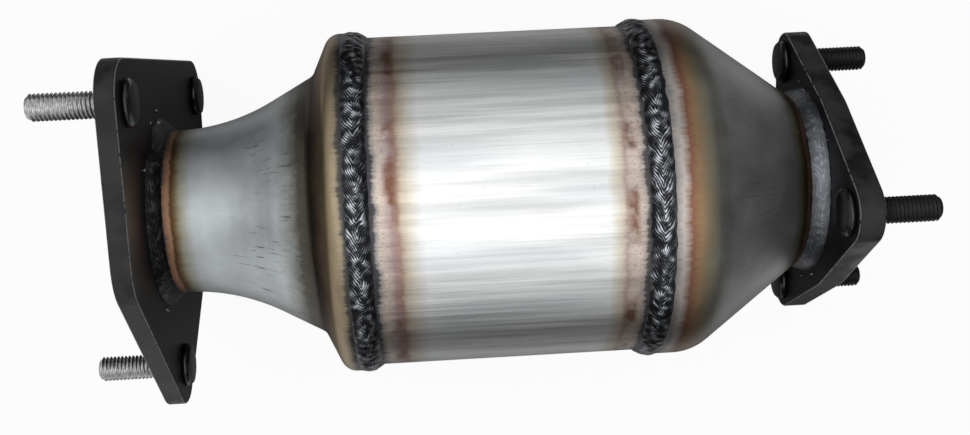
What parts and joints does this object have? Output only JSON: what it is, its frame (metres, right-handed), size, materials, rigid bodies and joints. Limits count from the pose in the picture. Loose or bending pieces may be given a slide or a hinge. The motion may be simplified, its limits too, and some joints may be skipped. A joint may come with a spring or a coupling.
{
  "type": "catalytic converter",
  "caption": "Round exhaust catalytic converter: steel can between two welded cones, each ending in a studded triangular flange plate.",
  "frame": {"origin": "centre of the inlet port on the inlet flange's sealing face", "axes": "+X along the can from the inlet to the outlet, +Y towards the inlet flange's straight edge, +Z away from the can's lengthwise seam"},
  "size_m": [0.3228, 0.1472, 0.1603],
  "materials": {
    "can_steel": "satin",
    "cone_steel": "satin",
    "weld": "satin",
    "flange_paint": "semi-gloss",
    "zinc_stud": "satin",
    "black_stud": "satin",
    "brick": "matte",
    "mat": "matte"
  },
  "bodies": {
    "root": {"can_shell": "can_steel", "can_seam_weld": "weld", "ceramic_brick": "brick", "support_mat": "mat", "inlet_cone": "cone_steel", "outlet_cone": "cone_steel", "inlet_collar_weld": "weld", "outlet_collar_weld": "weld", "inlet_neck_weld": "weld", "outlet_neck_weld": "weld", "inlet_flange": "flange_paint", "outlet_flange": "flange_paint", "inlet_stud_1": "zinc_stud", "inlet_stud_2": "zinc_stud", "inlet_stud_3": "zinc_stud", "outlet_stud_1": "black_stud", "outlet_stud_2": "black_stud", "outlet_stud_3": "black_stud"}
  },
  "joints": []
}
